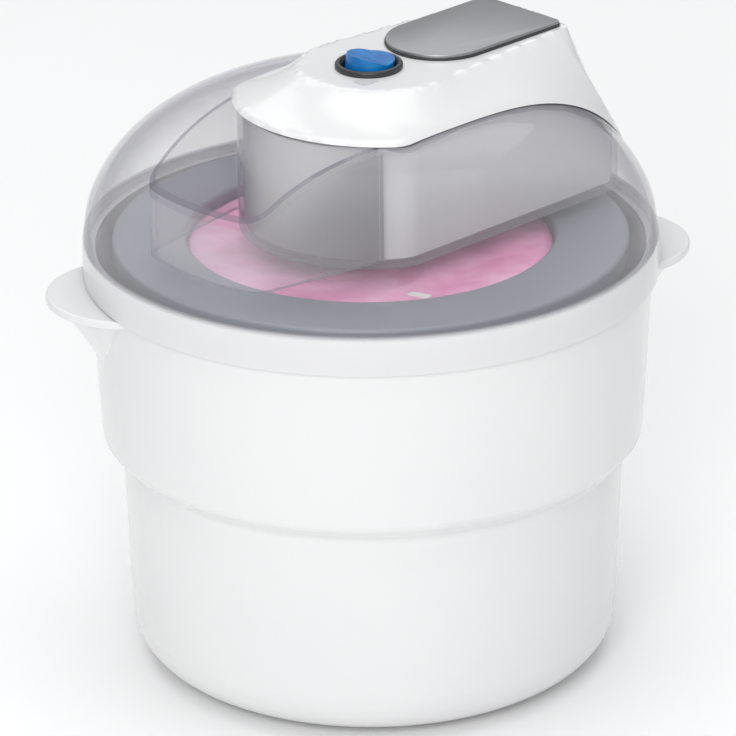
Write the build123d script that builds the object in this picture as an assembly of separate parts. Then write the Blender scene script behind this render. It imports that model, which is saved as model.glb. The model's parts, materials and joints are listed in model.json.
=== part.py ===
from build123d import *
import math
import os

# Ice cream maker: outer container, double-walled freezer bowl, clear lid with a filler chute,
# stirrer, and a geared motor unit that sits in a well of the lid.
# Millimetres, +Z up, origin at the middle of the base. The handles lie along X.

# Lid, which sets the size of the rims below it
lid_radius = 98.2
lid_wall = 2.0
lid_skirt_bottom = 142.0
skirt_height = 10.0
shoulder_reach = 61.5
shoulder_rise = 50.0
lid_angle = 30.0
running_gap = 0.3
mark_radius = 2.2
mark_proud = 0.6

# Outer container
container_wall = 2.2
foot_height = 1.5
foot_radius = 62.0
foot_width = 4.0
lower_bottom_radius = 83.4
lower_top_radius = 86.4
step_low = 78.0
step_high = 84.0
upper_bottom_radius = 93.0
base_fillet = 16.0
step_fillet = 4.0
rim_lap = 7.0
handle_proud = 14.3
handle_radius = 28.5
handle_thickness = 3.0
handle_gap = 0.5
gusset_depth = 19.0
gusset_top_radius = 24.0
gusset_bottom_radius = 12.0

# Freezer bowl
bowl_stand = 7.0
bowl_rise = 5.0
bowl_shell_radius = 80.0
bowl_shell_wall = 1.8
bowl_shell_draft = 2.0
pot_radius = 62.5
pot_draft = 2.0
pot_wall = 1.2
pot_floor = 30.0
pot_corner = 12.0
ring_thickness = 4.3
ring_outer_radius = 88.0
ring_lip_width = 1.6
ring_lip_depth = 6.5
flange_thickness = 1.5
gasket_thickness = 1.0
gasket_inner_radius = 71.0
gasket_outer_radius = 76.0
gel_gap = 0.2
gel_headroom = 8.0
pivot_radius = 4.0
pivot_height = 8.0
plug_radius = 4.9
plug_head_margin = 1.6
plug_head_height = 1.2
plug_offset = 40.0

# Well of the lid, the motor unit that drops into it, and the filler chute in front of it
well_clearance = 6.0
pocket_front = 43.0
pocket_half_width = 38.9
pocket_back = 88.0
pocket_corner = 10.0
pocket_wall = 1.8
unit_gap = 0.5
unit_wall = 2.2
chute_inner_half = 34.0
chute_outer_half = 25.5
chute_inset = 14.0
chute_reach = 81.0
chute_clearance = 7.0
chute_corner = 8.0

# Top cover of the motor unit
cover_rise = 11.0
cover_overhang = 2.1
cover_seat_gap = 0.4
housing_lip = 3.0
cover_back = 92.0
cover_back_height = 39.0
cover_brow = 8.0
cover_brow_reach = 3.0
plateau_back = 79.0
plateau_front_half = 27.5
plateau_back_half = 20.0
plateau_centre = 5.0

# Inlet for the mains lead, in the back of the unit
cord_radius = 3.2
bush_barrel_wall = 1.3
bush_barrel_length = 8.0
bush_collar_width = 1.5
bush_collar_height = 2.0
bush_snout_length = 6.0
bush_snout_taper = 0.8
cord_rise = 7.4
cord_hole_depth = 12.0
cord_hole_length = 30.0

# Switch and trim plate
rocker_radius = 8.5
rocker_tilt = 9.0
rocker_pivot_drop = 1.5
rocker_depth = 4.0
rocker_proud = 2.6
rocker_dish = 1.8
rocker_pin_radius = 1.2
rocker_side_gap = 0.7
bezel_side_gap = 1.1
barrel_wall = 0.7
bezel_width = 1.6
bezel_height = 2.0
bezel_chamfer = 0.6
switch_depth = 23.0
switch_floor = 8.0
terminal_length = 7.0
plate_bezel_gap = 3.8
plate_end = 74.4
plate_half_width = 18.4
plate_thickness = 1.0
underlay_margin = 0.4

# Gear train: every gear has the same module, and the axes stand in a row
gear_module = 0.8
pinion_teeth = 12
wheel_teeth = 42
gear_backlash = 0.12
pressure_angle = 20.0
wheel_width = 3.6
gear_clearance = 0.5
gear_plate_thickness = 2.0
motor_plate_thickness = 1.5
axle_radius = 1.5
bearing_gap = 0.05
hub_radius = 9.0
hub_lift = 0.8
output_pivot_radius = 3.0
socket_depth = 2.0
shaft_end_gap = 0.4
plate_half = 31.5
plate_front_end = 19.0
plate_motor_margin = 0.8
plate_corner = 6.0
spacer_radius = 3.2
spacer_inset = 5.0
spacer_front_half = 26.0
spacer_back_half = 24.0

# Motor
can_radius = 25.0
can_height = 22.0
can_wall = 0.8
rotor_radius = 10.5
rotor_lift = 2.0
rotor_headroom = 4.5
coil_inner_radius = 14.4
coil_outer_radius = 22.0
bobbin_wall = 0.9
bobbin_flange = 1.1
bobbin_lift = 1.4
bobbin_headroom = 3.8
claw_count = 6
claw_air_gap = 0.6
claw_thickness = 1.0
claw_width = 3.6
claw_reach = 9.0
claw_end_gap = 3.0
claw_headroom = 1.8
ear_reach = 28.3
ear_radius = 3.2
motor_bush_radius = 3.0

# Shaft and stirrer
hex_flats = 6.8
hex_play = 0.2
journal_margin = 0.07
bush_wall = 2.5
bush_flange_width = 2.5
bush_flange_height = 1.2
paddle_turn = -120.0
paddle_hub_radius = 7.0
paddle_lift = 2.5
collar_height = 3.0
shaft_start = 90.0
scraper_gap = 2.4
blade_thickness = 3.0
blade_width = 15.0
blade_slant = 50.0
blade_top_gap = 3.0
short_blade_inset = 12.0
short_blade_height = 62.0
arm_height = 8.0
middle_arm = 46.0
top_arm = 88.0

# Screws
screw_radius = 1.5
screw_head_margin = 1.5
screw_head_height = 2.0
post_wall = 3.1
post_gap = 0.4
front_post_place = (-27.0, 22.0)
rear_post_half = 26.0
front_post_drop = 23.0
rear_post_drop = 33.0
post_cap = 4.0
screw_bite = 8.0
terminal_block_width = 9.0

# Worked out from the sizes above
rim_radius = lid_radius - lid_wall - running_gap
container_top = lid_skirt_bottom + rim_lap
container_floor = foot_height + container_wall
handle_top = lid_skirt_bottom - handle_gap
handle_reach = lid_radius + handle_proud
shoulder_start = lid_skirt_bottom + skirt_height
bowl_top = container_top + bowl_rise
pocket_floor = bowl_top + well_clearance
chute_bottom = bowl_top + chute_clearance
cover_top = shoulder_start + shoulder_rise + cover_rise
cover_back_bottom = cover_top - cover_back_height
cord_hole_radius = cord_radius + bush_barrel_wall
switch_bore = rocker_radius + rocker_side_gap
switch_opening = rocker_radius + bezel_side_gap
switch_barrel_radius = switch_bore + barrel_wall
bezel_radius = switch_barrel_radius + bezel_width
plate_start = bezel_radius + plate_bezel_gap
journal_radius = hex_flats / math.sqrt(3) + journal_margin
bush_radius = journal_radius + bush_wall
bush_flange_radius = bush_radius + bush_flange_width
screw_head_radius = screw_radius + screw_head_margin
post_radius = screw_radius + post_wall
housing_floor = pocket_floor + running_gap
gear_base_bottom = housing_floor + unit_wall
gear_base_top = gear_base_bottom + gear_plate_thickness
lower_gear_bottom = gear_base_top + gear_clearance
upper_gear_bottom = lower_gear_bottom + wheel_width + gear_clearance
motor_plate_bottom = upper_gear_bottom + wheel_width + 4 * gear_clearance
motor_plate_top = motor_plate_bottom + motor_plate_thickness
can_top = motor_plate_top + can_height
axis_step = gear_module * (pinion_teeth + wheel_teeth) / 2
motor_axis = 2 * axis_step
plate_back_end = motor_axis + can_radius + plate_motor_margin
front_post = (*front_post_place, cover_top - front_post_drop)
rear_post = (plate_back_end + post_radius + post_gap, rear_post_half, cover_top - rear_post_drop)
ring_bottom = bowl_top - ring_thickness
pot_flange_bottom = ring_bottom - flange_thickness
shell_flange_top = pot_flange_bottom - gasket_thickness
shell_flange_bottom = shell_flange_top - flange_thickness
bush_flange_bottom = pocket_floor - lid_wall - bush_flange_height
pivot_z = cover_top - rocker_pivot_drop


def outline(points):
    """Closed flat face from a list of corners."""
    return make_face(Polyline(*points, close=True))


def rounded(face, corner, radius):
    """The face with the corner nearest to a point rounded."""
    nearest = min(face.vertices(), key=lambda v: math.hypot(v.X - corner[0], v.Y - corner[1]))
    return fillet(nearest, radius)


def turned(face):
    """A face drawn as radius across and height up, revolved about the vertical axis."""
    return revolve(Plane.XZ * face, axis=Axis.Z)


def band(inner, outer, low, high):
    """A plain ring, or a disc where inner is 0."""
    solid = Pos(0, 0, low) * extrude(Circle(outer), high - low)
    if inner > 0:
        solid -= Pos(0, 0, low - 1) * extrude(Circle(inner), high - low + 2)
    return solid


def post(x, y, radius, low, high):
    """An upright round bar."""
    return Pos(x, y, low) * extrude(Circle(radius), high - low)


def block(x_range, y_range, z_range):
    """A box between two corners."""
    size = [r[1] - r[0] for r in (x_range, y_range, z_range)]
    return Pos(x_range[0], y_range[0], z_range[0]) * Box(*size, align=(Align.MIN,) * 3)


def group(solids):
    """Separate solids kept together in one node."""
    return Compound([solid for shape in solids for solid in shape.solids()])


def in_lid_frame(shape):
    """Turns a piece from the lid's own frame, motor to +X, to its place on the machine."""
    return Rot(0, 0, lid_angle) * shape


# Outer container ---------------------------------------------------------------------------

def container_body(inset):
    """The stepped body as a full solid, drawn in by inset."""
    low = foot_height + inset
    lower_corner = (lower_bottom_radius - inset, low)
    ledge = (lower_top_radius - inset, step_low + inset)
    edge = (upper_bottom_radius - inset, step_high + inset)
    face = outline([
        (0, low), lower_corner, ledge, edge,
        (rim_radius - inset, lid_skirt_bottom),
        (rim_radius - inset, container_top + inset),
        (0, container_top + inset),
    ])
    face = rounded(face, lower_corner, base_fillet - inset)
    face = rounded(face, ledge, step_fillet - inset / 2)
    face = rounded(face, edge, step_fillet - inset / 2)
    return turned(face)


def handle(side):
    """Half-round lifting tab with the tapered gusset under it."""
    centre = handle_reach - handle_radius
    tab = post(side * centre, 0, handle_radius, handle_top - handle_thickness, handle_top)
    tab = fillet(tab.edges().filter_by(GeomType.CIRCLE), handle_thickness / 3)
    gusset_low = handle_top - handle_thickness - gusset_depth
    gusset = Pos(side * centre, 0, gusset_low + gusset_depth / 2) * Cone(
        gusset_bottom_radius, gusset_top_radius, gusset_depth)
    return tab + gusset


def outer_container():
    outside = container_body(0)
    foot_taper = foot_height + container_wall / 2
    foot = band(foot_radius, foot_radius + foot_width, 0, foot_taper)
    seat = band(foot_radius, foot_radius + foot_width, container_floor - container_wall / 2, bowl_stand)
    body = outside + handle(1) + handle(-1)
    body -= container_body(container_wall)
    return body + foot + seat


# Freezer bowl ------------------------------------------------------------------------------

def bowl_outer_shell():
    wall = bowl_shell_wall
    corner = (bowl_shell_radius - bowl_shell_draft, bowl_stand)
    outside = rounded(outline([
        (0, bowl_stand), corner,
        (bowl_shell_radius, shell_flange_top), (0, shell_flange_top),
    ]), corner, pot_corner)
    inner_corner = (corner[0] - wall, bowl_stand + wall)
    inside = rounded(outline([
        (0, bowl_stand + wall), inner_corner,
        (bowl_shell_radius - wall, shell_flange_bottom), (0, shell_flange_bottom),
    ]), inner_corner, pot_corner - wall)
    shell = turned(outside) - turned(inside)
    shell -= band(0, gasket_inner_radius - 1, shell_flange_bottom - 1, shell_flange_top + 1)
    return shell - post(plug_offset, 0, plug_radius, bowl_stand - 1, bowl_stand + wall + 1)


def fill_plug():
    low = bowl_stand - plug_head_height
    head = post(plug_offset, 0, plug_radius + plug_head_margin, low, bowl_stand)
    return head + post(plug_offset, 0, plug_radius, low, bowl_stand + bowl_shell_wall)


def pot_face(inset):
    """Half section of the pot's inner space, let out by inset."""
    low = pot_floor - inset
    corner = (pot_radius - pot_draft + inset, low)
    face = outline([
        (0, low), corner, (pot_radius + inset, ring_bottom), (0, ring_bottom),
    ])
    return rounded(face, corner, pot_corner + inset)


def bowl_inner_pot():
    pot = turned(pot_face(pot_wall)) + band(0, gasket_outer_radius + 2, pot_flange_bottom, ring_bottom)
    pot -= turned(pot_face(0))
    pivot = Pos(0, 0, pot_floor - pot_wall / 2 + pivot_height / 2) * Cone(
        pivot_radius, pivot_radius / 2, pivot_height)
    return pot + pivot


def bowl_gasket():
    return band(gasket_inner_radius, gasket_outer_radius, shell_flange_top, pot_flange_bottom)


def bowl_top_ring():
    lip_inner = ring_outer_radius - ring_lip_width
    face = outline([
        (pot_radius, ring_bottom),
        (lip_inner, ring_bottom),
        (lip_inner, bowl_top - ring_lip_depth),
        (ring_outer_radius, bowl_top - ring_lip_depth),
        (ring_outer_radius, bowl_top),
        (pot_radius, bowl_top),
    ])
    face = rounded(face, (ring_outer_radius, bowl_top), ring_lip_width / 2)
    return turned(rounded(face, (pot_radius, bowl_top), ring_lip_width / 2))


def coolant_gel():
    """The freezing gel that fills the space between pot and shell, with room to expand."""
    high = shell_flange_bottom - gel_headroom
    low = bowl_stand + bowl_shell_wall + gel_gap
    reach = bowl_shell_radius - bowl_shell_draft - bowl_shell_wall - gel_gap
    face = rounded(outline([(0, low), (reach, low), (reach, high), (0, high)]), (reach, low), pot_corner)
    return turned(face) - turned(pot_face(pot_wall + gel_gap))


# Lid ---------------------------------------------------------------------------------------

def dome(offset, low):
    """The lid's outer form as a full solid, let out by offset and cut flat at low."""
    centre = lid_radius - shoulder_reach
    radius = lid_radius + offset
    top = shoulder_start + shoulder_rise + offset
    edges = [
        Line((0, low), (radius, low)),
        Line((radius, low), (radius, shoulder_start)),
        EllipticalCenterArc(
            (centre, shoulder_start), shoulder_reach + offset, shoulder_rise + offset, arc_size=90),
        Line((centre, top), (0, top)),
        Line((0, top), (0, low)),
    ]
    return turned(make_face(edges))


def unit_plan(front, half_width, back, corner):
    """Plan of the motor pocket: straight sides, bowed front, back along the lid's curve."""
    front_x = -math.sqrt(front ** 2 - half_width ** 2)
    back_x = math.sqrt(back ** 2 - half_width ** 2)
    face = make_face([
        ThreePointArc((front_x, half_width), (-front, 0), (front_x, -half_width)),
        Line((front_x, -half_width), (back_x, -half_width)),
        ThreePointArc((back_x, -half_width), (back, 0), (back_x, half_width)),
        Line((back_x, half_width), (front_x, half_width)),
    ])
    face = rounded(face, (front_x, half_width), corner)
    face = rounded(face, (front_x, -half_width), corner)
    face = rounded(face, (back_x, half_width), corner / 3)
    return rounded(face, (back_x, -half_width), corner / 3)


def unit_prism(offset, low, high):
    """The pocket's plan, let out by offset, as an upright prism."""
    plan = unit_plan(
        pocket_front + offset, pocket_half_width + offset, pocket_back + offset, pocket_corner + offset)
    return Pos(0, 0, low) * extrude(plan, high - low)


def chute_prism(offset, low, high):
    """The filler opening in front of the pocket, let out by offset, as an upright prism."""
    inner = -pocket_front + chute_inset
    half_inner = chute_inner_half + offset
    half_outer = chute_outer_half + offset
    reach = chute_reach + offset
    outer_x = -math.sqrt(reach ** 2 - half_outer ** 2)
    face = make_face([
        Line((inner, half_inner), (outer_x, half_outer)),
        ThreePointArc((outer_x, half_outer), (-reach, 0), (outer_x, -half_outer)),
        Line((outer_x, -half_outer), (inner, -half_inner)),
        Line((inner, -half_inner), (inner, half_inner)),
    ])
    face = rounded(face, (outer_x, half_outer), chute_corner + offset)
    face = rounded(face, (outer_x, -half_outer), chute_corner + offset)
    return Pos(0, 0, low) * extrude(face, high - low)


def lid_dome():
    """Skirt, shoulder and roof, open where the motor well and the filler chute stand."""
    shell = dome(0, lid_skirt_bottom) - dome(-lid_wall, lid_skirt_bottom - 1)
    shell -= well_prism(pocket_wall) + chute_prism(pocket_wall, chute_bottom, cover_top)
    shell -= chute_prism(0, lid_skirt_bottom, cover_top)
    ledge = band(rim_radius - container_wall, rim_radius + lid_wall, container_top + running_gap,
                 container_top + running_gap + lid_wall)
    mark_height = (lid_skirt_bottom + shoulder_start) / 2
    mark = Pos(lid_radius - mark_radius + mark_proud, 0, mark_height) * Sphere(mark_radius)
    mark -= post(0, 0, lid_radius - lid_wall, 0, cover_top)
    return shell + ledge + Rot(0, 0, -90 - lid_angle) * mark


def well_prism(offset):
    """The motor well as a full prism, let out by offset, its floor included where that is a wall."""
    floor = pocket_floor - lid_wall if offset > 0 else pocket_floor
    return unit_prism(offset, floor, cover_top)


def motor_well():
    """The well that the motor unit sits in, joined to the roof along its upper edge."""
    well = (well_prism(pocket_wall) & dome(0, lid_skirt_bottom)) - well_prism(0)
    return well - post(0, 0, bush_radius, pocket_floor - lid_wall - 1, pocket_floor + 1)


def chute_wall():
    """Walls of the filler chute, from the roof down to just above the bowl's ring."""
    walls = chute_prism(pocket_wall, chute_bottom, cover_top) & dome(0, lid_skirt_bottom)
    return walls - chute_prism(0, lid_skirt_bottom, cover_top) - well_prism(pocket_wall)


def shaft_bush():
    floor_bottom = pocket_floor - lid_wall
    bush = band(journal_radius + bearing_gap, bush_radius, floor_bottom, pocket_floor)
    return bush + band(journal_radius + bearing_gap, bush_flange_radius, bush_flange_bottom, floor_bottom)


# Stirrer -----------------------------------------------------------------------------------

def hex_bar(flats, low, high):
    """An upright hexagonal bar, flats apart across its sides."""
    return Pos(0, 0, low) * extrude(RegularPolygon(flats / 2, 6, major_radius=False), high - low)


def drive_shaft():
    collar_low = bush_flange_bottom - running_gap - collar_height
    collar_high = collar_low + collar_height
    shaft = hex_bar(hex_flats, pot_floor + shaft_start, collar_low)
    shaft += band(0, paddle_hub_radius, collar_low, collar_high)
    shaft += band(0, journal_radius, collar_high, pocket_floor + running_gap)
    return shaft + hex_bar(hex_flats, pocket_floor, lower_gear_bottom + socket_depth - shaft_end_gap)


def paddle():
    """Hub with arms, one tall scraper at the pot's wall and one shorter inner blade."""
    low = pot_floor + paddle_lift
    hub_top = bush_flange_bottom - running_gap - collar_height
    tall = pot_radius - pot_draft - scraper_gap - blade_width / 2
    short = tall - short_blade_inset
    half = blade_thickness / 2
    body = band(0, paddle_hub_radius, low, hub_top)
    for arm_low in (low + half, pot_floor + middle_arm, pot_floor + top_arm):
        body += block((0, tall), (-half, half), (arm_low, arm_low + arm_height))
    for arm_low in (low + half, pot_floor + middle_arm):
        body += block((-short, 0), (-half, half), (arm_low, arm_low + arm_height))
    body += upright_blade(tall, low + 1, bowl_top - blade_top_gap)
    body += upright_blade(-short, low + 1, pot_floor + short_blade_height)
    body -= hex_bar(hex_flats, pot_floor + shaft_start, hub_top + 1)
    return body - band(0, pivot_radius + 2 * running_gap, low - 1, pot_floor + pivot_height + 1)


def upright_blade(x, low, high):
    """A standing blade set aslant, so that it folds the mix inwards."""
    half = blade_width / 2
    blade = block((-half, half), (-blade_thickness / 2, blade_thickness / 2), (low, high))
    return Pos(x, 0, 0) * Rot(0, 0, blade_slant) * blade


# Motor unit's housing ----------------------------------------------------------------------

def edge_height(x, half):
    """Height of the lid's outer surface at a point beside the pocket."""
    radius = min(math.hypot(x, half), lid_radius)
    inward = max(radius - (lid_radius - shoulder_reach), 0.0) / shoulder_reach
    return shoulder_start + shoulder_rise * math.sqrt(max(1 - inward ** 2, 0.0))


def plateau_half(x):
    """Half the width of the flat top at a distance back from the stirrer's axis."""
    share = (x - plateau_centre) / (plateau_back - plateau_centre)
    return plateau_front_half + (plateau_back_half - plateau_front_half) * min(max(share, 0.0), 1.0)


def cover_section(x, inset):
    """Cross-section of the cover: flat top, hollowed sides, upright below the skirt's edge."""
    half = pocket_half_width + cover_overhang
    edge = edge_height(x, half) - inset
    top = cover_top - inset
    wide = half - inset
    narrow = plateau_half(x) - inset
    side = [(wide, lid_skirt_bottom), (wide, edge)]
    for across, up in ((0.3, 0.16), (0.65, 0.48), (0.92, 0.88)):
        side.append((wide + (narrow - wide) * across, edge + (top - edge) * up))
    side.append((narrow - 1.0, top))
    mirrored = [(-y, z) for y, z in reversed(side)]
    return Plane(origin=(x, 0, 0), x_dir=(0, 1, 0), z_dir=(1, 0, 0)) * outline(side + mirrored)


def cover_form(inset):
    """The cover as a full solid, drawn in by inset."""
    stations = [-50.0, 5.0, 25.0, 42.0, 56.0, 68.0, 78.0, 86.0, 94.0]
    sides = loft([cover_section(x, inset) for x in stations], ruled=True)
    top = cover_top - inset
    skirt = pocket_front + cover_overhang + plateau_centre - inset
    nose_half = plateau_front_half - inset
    drop = cover_top - (shoulder_start + shoulder_rise)
    nose = outline([
        (0, lid_skirt_bottom),
        (skirt, lid_skirt_bottom),
        (skirt, top - drop + 0.4),
        (nose_half + (skirt - nose_half) * 0.7, top - drop * 0.8),
        (nose_half + (skirt - nose_half) * 0.35, top - drop * 0.5),
        (nose_half + (skirt - nose_half) * 0.08, top - drop * 0.12),
        (nose_half - 1.0, top),
        (0, top),
    ])
    long_way = 2 * lid_radius
    nose_solid = Pos(plateau_centre, 0, 0) * turned(nose)
    behind = block((plateau_centre, long_way), (-long_way, long_way), (lid_skirt_bottom, cover_top))
    tail = turned(outline([
        (0, lid_skirt_bottom),
        (cover_back - inset, lid_skirt_bottom),
        (cover_back - inset, cover_back_bottom),
        (plateau_back + cover_brow_reach - inset, top - cover_brow),
        (plateau_back - inset, top),
        (0, top),
    ]))
    return sides & (nose_solid + behind) & tail


def screw_places():
    """Where the four screws that close the motor unit stand, and how high their posts reach."""
    return [(x, side * y, top) for x, y, top in (front_post, rear_post) for side in (1, -1)]


def top_cover():
    outside = cover_form(0)
    cover = outside - cover_form(unit_wall)
    cover -= dome(cover_seat_gap, lid_skirt_bottom - 1)
    for x, y, top in screw_places():
        cover += post(x, y, post_radius - 1, top, cover_top) & outside
        cover -= post(x, y, screw_radius, top - 1, top + screw_bite + 1)
    cover -= post(0, 0, switch_barrel_radius + bearing_gap, cover_top - 2 * unit_wall, cover_top + 1)
    return cover - cord_hole()


def lower_housing():
    low = housing_floor
    limit = dome(housing_lip, lid_skirt_bottom) & cover_form(unit_wall + running_gap)
    outside = unit_prism(-unit_gap, low, cover_top) & limit
    inside = unit_prism(-unit_gap - unit_wall, low + unit_wall, cover_top)
    housing = outside - inside
    for x, y, top in screw_places():
        housing += post(x, y, post_radius, low, top)
        housing -= post(x, y, screw_head_radius + running_gap, low - 1, top - post_cap)
        housing -= post(x, y, screw_radius + running_gap, low - 1, top + 1)
    housing -= cord_hole()
    return housing - post(0, 0, hub_radius + unit_gap, low - 1, low + unit_wall + 1)


def housing_screws():
    screws = []
    for x, y, top in screw_places():
        seat = top - post_cap
        head = post(x, y, screw_head_radius, seat - screw_head_height, seat)
        screws.append(head + post(x, y, screw_radius, seat, top + screw_bite))
    return group(screws)


def cord_height():
    """The lead comes in just over the place where the well's back meets the roof."""
    return edge_height(pocket_back, 0) + cord_rise


def cover_back_radius(z):
    """How far back the cover's tail reaches at a height on its slope."""
    brow = plateau_back + cover_brow_reach
    share = (z - cover_back_bottom) / (cover_top - cover_brow - cover_back_bottom)
    return cover_back + (brow - cover_back) * share


def along_lead(start):
    """Place on the lead's axis, a distance back from the stirrer's axis."""
    return Pos(start, 0, cord_height()) * Rot(0, 90, 0)


def cord_hole():
    return along_lead(pocket_back - cord_hole_depth) * extrude(Circle(cord_hole_radius), cord_hole_length)


def cord_bush():
    """Rubber bush in the back of the unit, where the mains lead comes in."""
    collar_radius = cord_hole_radius + bush_collar_width
    outer = cover_back_radius(cord_height() - collar_radius) + running_gap
    barrel = along_lead(outer - bush_barrel_length) * extrude(Circle(cord_hole_radius), bush_barrel_length)
    collar = along_lead(outer) * extrude(Circle(collar_radius), bush_collar_height)
    snout_middle = outer + bush_collar_height + bush_snout_length / 2
    snout = along_lead(snout_middle) * Cone(
        cord_hole_radius, cord_hole_radius - bush_snout_taper, bush_snout_length)
    passage = along_lead(outer - bush_barrel_length - 1) * extrude(Circle(cord_radius), cord_hole_length)
    return barrel + collar + snout - passage


def plate_face(margin):
    """Plan of the trim plate: square back, round front."""
    half = plate_half_width + margin
    start = plate_start - margin
    end = plate_end + margin
    return make_face([
        Line((end, half), (start + half, half)),
        ThreePointArc((start + half, half), (start, 0), (start + half, -half)),
        Line((start + half, -half), (end, -half)),
        Line((end, -half), (end, half)),
    ])


def plate_underlay():
    return Pos(0, 0, cover_top) * extrude(plate_face(underlay_margin), plate_thickness)


def decor_plate():
    return Pos(0, 0, cover_top + plate_thickness) * extrude(plate_face(0), plate_thickness)


# Switch ------------------------------------------------------------------------------------

def rocker_pins(radius, reach):
    """Round bar along the rocker's hinge, for its two pins and for the holes they turn in."""
    return Pos(0, reach, pivot_z) * Rot(90, 0, 0) * extrude(Circle(radius), 2 * reach)


def switch_body():
    low = cover_top - switch_depth
    bezel = band(0, bezel_radius, cover_top, cover_top + bezel_height)
    bezel = chamfer(bezel.edges().filter_by(GeomType.CIRCLE).sort_by(Axis.Z)[-1], bezel_chamfer)
    body = bezel + band(0, switch_barrel_radius, low, cover_top)
    body -= band(0, switch_bore, low + switch_floor, cover_top)
    body -= band(0, switch_opening, cover_top, cover_top + bezel_height + 1)
    return body - rocker_pins(rocker_pin_radius + bearing_gap, switch_barrel_radius + 1)


def switch_terminals():
    high = cover_top - switch_depth
    low = high - terminal_length
    blades = [block((x - 0.4, x + 0.4), (-2.4, 2.4), (low, high)) for x in (-5.0, 0.0, 5.0)]
    return group(blades)


def switch_rocker():
    """Rocker with a dished top and two hinge pins, its back pressed down."""
    base = pivot_z - rocker_depth
    shoulder = base + rocker_depth / 2
    high = cover_top + bezel_height + rocker_proud
    side = outline([
        (-rocker_radius, shoulder), (0, base), (rocker_radius, shoulder),
        (rocker_radius, high), (0, high - rocker_dish), (-rocker_radius, high),
    ])
    prism = Pos(0, rocker_radius, 0) * extrude(Plane.XZ * side, 2 * rocker_radius)
    rocker = prism & band(0, rocker_radius, base - 1, high + 1)
    rocker += rocker_pins(rocker_pin_radius, switch_barrel_radius - running_gap / 2)
    pivot = Location((0, 0, pivot_z))
    return pivot * Rot(0, rocker_tilt, 0) * pivot.inverse() * rocker


# Gear train --------------------------------------------------------------------------------

def involute(angle):
    return math.tan(angle) - angle


def tooth_half_angle(radius, teeth):
    """Half the angle that a tooth takes up at a radius."""
    pitch_radius = gear_module * teeth / 2
    base_radius = pitch_radius * math.cos(math.radians(pressure_angle))
    at_pitch = math.pi / (2 * teeth) - gear_backlash / (2 * pitch_radius)
    local = math.acos(min(base_radius / max(radius, base_radius), 1.0))
    return at_pitch + involute(math.radians(pressure_angle)) - involute(local)


def gear_face(teeth, first_tooth):
    """Spur gear in plan; first_tooth is the angle, in tooth pitches, of a tooth's middle."""
    pitch_radius = gear_module * teeth / 2
    root = pitch_radius - 1.25 * gear_module
    tip = pitch_radius + gear_module
    base_radius = pitch_radius * math.cos(math.radians(pressure_angle))
    start = max(root, base_radius)
    flank = [start + (tip - start) * share for share in (0.0, 0.3, 0.65, 1.0)]
    points = []
    for tooth in range(teeth):
        middle = 2 * math.pi * (tooth + first_tooth) / teeth
        half_root = tooth_half_angle(start, teeth)
        rising = [(root, -half_root)] if root < start else []
        rising += [(radius, -tooth_half_angle(radius, teeth)) for radius in flank]
        for radius, angle in rising + [(r, -a) for r, a in reversed(rising)]:
            points.append((radius * math.cos(middle + angle), radius * math.sin(middle + angle)))
    return outline(points)


def gear(teeth, first_tooth, low, high):
    return Pos(0, 0, low) * extrude(gear_face(teeth, first_tooth), high - low)


def output_gear():
    """The wheel that turns the stirrer, with the hexagonal socket in its hub."""
    high = lower_gear_bottom + wheel_width
    wheel = gear(wheel_teeth, 0.5, lower_gear_bottom, high)
    wheel += band(0, hub_radius, housing_floor + hub_lift, lower_gear_bottom)
    wheel += band(0, output_pivot_radius, high, motor_plate_top)
    return wheel - hex_bar(hex_flats + 2 * hex_play, housing_floor, lower_gear_bottom + socket_depth)


def idler_gear():
    high = upper_gear_bottom + wheel_width
    gears = gear(pinion_teeth, 0.0, lower_gear_bottom, upper_gear_bottom)
    gears += gear(wheel_teeth, 0.5, upper_gear_bottom, high)
    gears -= band(0, axle_radius + bearing_gap, lower_gear_bottom - 1, high + 1)
    return Pos(axis_step, 0, 0) * gears


def idler_axle():
    return post(axis_step, 0, axle_radius, gear_base_bottom, motor_plate_top)


def spacer_places():
    """Corners of the gearbox, where its plates are held apart."""
    front = (spacer_inset - plate_front_end, spacer_front_half)
    back = (plate_back_end - spacer_inset, spacer_back_half)
    return [(x, side * y) for x, y in (front, back) for side in (1, -1)]


def gearbox_plate(low, high):
    plate = block((-plate_front_end, plate_back_end), (-plate_half, plate_half), (low, high))
    return fillet(plate.edges().filter_by(Axis.Z), plate_corner)


def gear_base():
    low, high = gear_base_bottom, gear_base_top
    plate = gearbox_plate(low, high) - post(0, 0, hub_radius + bearing_gap, low - 1, high + 1)
    return plate - post(axis_step, 0, axle_radius, low - 1, high + 1)


def motor_plate():
    low, high = motor_plate_bottom, motor_plate_top
    plate = gearbox_plate(low, high)
    plate -= post(0, 0, output_pivot_radius + bearing_gap, low - 1, high + 1)
    plate -= post(axis_step, 0, axle_radius, low - 1, high + 1)
    plate -= post(motor_axis, 0, axle_radius + bearing_gap, low - 1, high + 1)
    for x, y in spacer_places() + ear_places():
        plate -= post(x, y, screw_radius, low - 1, high + 1)
    return plate


def gear_spacers():
    low, high = gear_base_top, motor_plate_bottom
    spacers = []
    for x, y in spacer_places():
        spacers.append(post(x, y, spacer_radius, low, high) - post(x, y, screw_radius, high - 8, high + 1))
    return group(spacers)


def gearbox_screws():
    screws = []
    for x, y in spacer_places():
        head = post(x, y, screw_head_radius, motor_plate_top, motor_plate_top + screw_head_height)
        screws.append(head + post(x, y, screw_radius, motor_plate_bottom - 7.5, motor_plate_top))
    return group(screws)


# Motor -------------------------------------------------------------------------------------

def ear_places():
    """Where the motor's two fixing ears stand."""
    return [(motor_axis, ear_reach), (motor_axis, -ear_reach)]


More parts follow.
